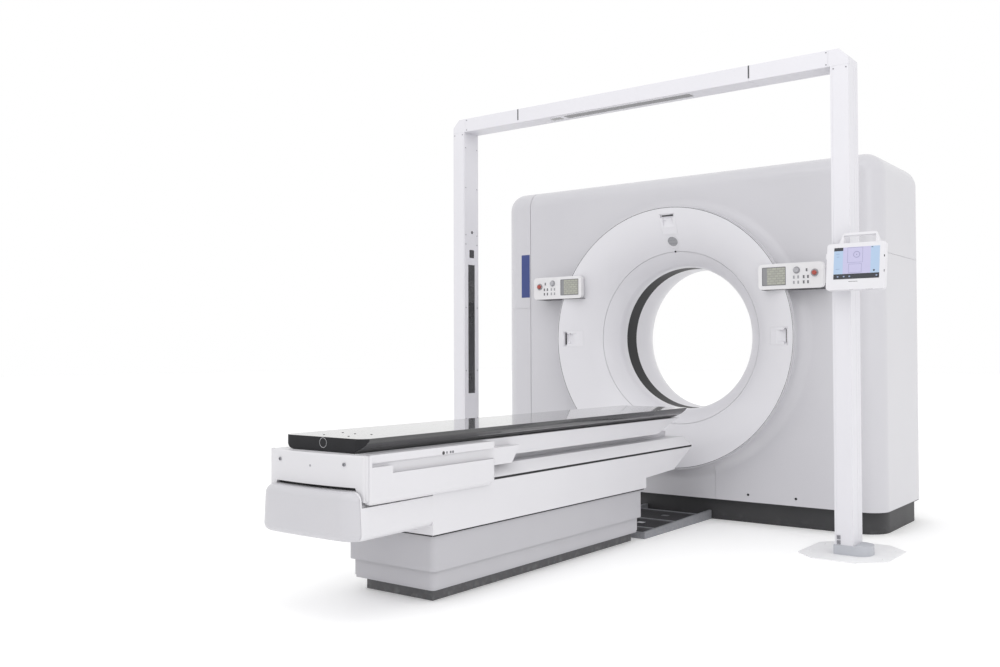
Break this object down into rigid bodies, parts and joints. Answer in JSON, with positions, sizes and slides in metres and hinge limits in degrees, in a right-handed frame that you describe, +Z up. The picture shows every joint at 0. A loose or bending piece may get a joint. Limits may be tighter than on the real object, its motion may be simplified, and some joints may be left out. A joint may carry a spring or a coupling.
{
  "type": "ct scanner",
  "caption": "Whole-body tomography scanner: a round-bore gantry with a lifting, sliding patient table, a floor-standing laser bridge with a tablet, and foot pedals.",
  "frame": {"origin": "on the floor straight below the isocentre, on the underside of the gantry's base", "axes": "+X to the right seen from the table's foot, +Y along the bore from the table into the gantry, +Z up"},
  "size_m": [2.787, 3.663, 2.404],
  "materials": {
    "shell_white": "satin moulded",
    "plinth_grey": "matte textured",
    "frame_steel": "satin paint",
    "cast_frame": "painted casting",
    "bare_steel": "ground",
    "rotor_alloy": "machined",
    "contact_brass": "polished",
    "housing_grey": "satin paint",
    "belt_rubber": "matte",
    "window_dark": "satin",
    "aperture_white": "satin moulded",
    "grille_grey": "perforated",
    "panel_white": "satin moulded",
    "knob_grey": "satin",
    "stop_red": "gloss",
    "bridge_white": "satin powder coat",
    "foot_grey": "satin paint",
    "slot_glass": "gloss",
    "device_black": "satin",
    "tablet_white": "satin moulded",
    "table_white": "satin moulded",
    "skirt_grey": "satin moulded",
    "table_plinth_grey": "satin paint",
    "tabletop_carbon": "gloss lacquer",
    "pad_rubber": "ribbed",
    "pedal_grey": "satin paint"
  },
  "bodies": {
    "installation": {"gantry_base": "frame_steel", "gantry_plinth": "plinth_grey", "stator_frame": "cast_frame", "bearing_race": "bare_steel", "brush_block": "device_black", "drive_motor": "housing_grey", "drive_belt": "belt_rubber", "front_cover": "shell_white", "rear_cover": "shell_white", "left_side_cover": "shell_white", "right_side_cover": "shell_white", "ring_cover": "shell_white", "funnel_cover": "shell_white", "scan_window": "window_dark", "rear_bore_cover": "shell_white", "laser_apertures": "aperture_white", "intercom_grille": "grille_grey", "left_panel": "panel_white", "right_panel": "panel_white", "left_post": "bridge_white", "right_post": "bridge_white", "bridge_beam": "bridge_white", "beam_arms": "bridge_white", "corner_blocks": "bridge_white", "foot_collars": "foot_grey", "foot_plates": "bridge_white", "laser_windows": "slot_glass", "tablet_bracket": "bridge_white", "table_plinth": "table_plinth_grey", "lift_columns": "bare_steel", "lower_skirt": "skirt_grey", "pedal_base": "pedal_grey"},
    "rotor": {"rotor_drum": "rotor_alloy", "slip_ring": "contact_brass", "xray_tube": "housing_grey", "tube_collimator": "bare_steel", "generator": "housing_grey", "heat_exchanger": "rotor_alloy", "detector_arc": "device_black"},
    "pulley": {"motor_pulley": "bare_steel"},
    "left_dial": {"left_knob": "knob_grey"},
    "right_dial": {"right_knob": "knob_grey"},
    "left_stop": {"left_stop_button": "stop_red"},
    "right_stop": {"right_stop_button": "stop_red"},
    "left_laser_car": {"left_laser": "device_black"},
    "right_laser_car": {"right_laser": "device_black"},
    "top_laser_car": {"top_laser": "device_black"},
    "tablet": {"tablet_case": "tablet_white"},
    "lift": {"lift_pistons": "bare_steel", "lift_frame": "frame_steel", "table_body": "table_white", "foot_cover": "table_white"},
    "middle": {"middle_skirt": "skirt_grey"},
    "slider": {"carriage": "table_white", "carriage_cover": "table_white", "side_trays": "table_white", "tabletop": "tabletop_carbon"},
    "pedal_one": {"pedal_1": "pad_rubber"},
    "pedal_two": {"pedal_2": "pad_rubber"},
    "pedal_three": {"pedal_3": "pad_rubber"}
  },
  "joints": [
    {"name": "rotor_spin", "type": "hinge", "parent": "installation", "child": "rotor", "pos_m": [0, 0, 1.049], "axis": [0, 1, 0], "continuous": true},
    {"name": "pulley_spin", "type": "hinge", "parent": "installation", "child": "pulley", "pos_m": [0.73724, 0.14, 0.53278], "axis": [0, 1, 0], "continuous": true},
    {"name": "left_dial_turn", "type": "hinge", "parent": "installation", "child": "left_dial", "pos_m": [-0.787, -0.37, 1.398], "axis": [0, 1, 0], "continuous": true},
    {"name": "right_dial_turn", "type": "hinge", "parent": "installation", "child": "right_dial", "pos_m": [0.787, -0.37, 1.398], "axis": [0, 1, 0], "continuous": true},
    {"name": "left_stop_press", "type": "slide", "parent": "installation", "child": "left_stop", "axis": [0, 1, 0], "range_m": [0, 0.004], "stiffness_N_per_m": 900, "springref_m": -0.001},
    {"name": "right_stop_press", "type": "slide", "parent": "installation", "child": "right_stop", "axis": [0, 1, 0], "range_m": [0, 0.004], "stiffness_N_per_m": 900, "springref_m": -0.001},
    {"name": "left_laser_travel", "type": "slide", "parent": "installation", "child": "left_laser_car", "axis": [0, 0, 1], "range_m": [-0.35, 0.35]},
    {"name": "right_laser_travel", "type": "slide", "parent": "installation", "child": "right_laser_car", "axis": [0, 0, 1], "range_m": [-0.35, 0.35]},
    {"name": "top_laser_travel", "type": "slide", "parent": "installation", "child": "top_laser_car", "axis": [1, 0, 0], "range_m": [-0.35, 0.35]},
    {"name": "tablet_tilt", "type": "hinge", "parent": "installation", "child": "tablet", "pos_m": [1.174, -0.853, 1.352], "axis": [1, 0, 0], "range_deg": [-8, 15]},
    {"name": "table_lift", "type": "slide", "parent": "installation", "child": "lift", "axis": [0, 0, 1], "range_m": [0, 0.3]},
    {"name": "middle_skirt_lift", "type": "slide", "parent": "installation", "child": "middle", "axis": [0, 0, 1], "range_m": [0, 0.15]},
    {"name": "top_slide", "type": "slide", "parent": "lift", "child": "slider", "axis": [0, 1, 0], "range_m": [0, 0.32]},
    {"name": "pedal_1_press", "type": "hinge", "parent": "installation", "child": "pedal_one", "pos_m": [0, -0.875, 0.027], "axis": [1, 0, 0], "range_deg": [0, 3], "stiffness_Nm_per_rad": 60, "springref_deg": -3.44},
    {"name": "pedal_2_press", "type": "hinge", "parent": "installation", "child": "pedal_two", "pos_m": [0, -0.615, 0.027], "axis": [1, 0, 0], "range_deg": [0, 1.8], "stiffness_Nm_per_rad": 90, "springref_deg": -3.44},
    {"name": "pedal_3_press", "type": "hinge", "parent": "installation", "child": "pedal_three", "pos_m": [0, -0.315, 0.027], "axis": [1, 0, 0], "range_deg": [0, 1.6], "stiffness_Nm_per_rad": 120, "springref_deg": -3.44}
  ],
  "couplings": [
    {"joint": "pulley_spin", "follows": "rotor_spin", "ratio": 14.8},
    {"joint": "right_laser_travel", "follows": "left_laser_travel", "ratio": 1},
    {"joint": "middle_skirt_lift", "follows": "table_lift", "ratio": 0.5}
  ]
}
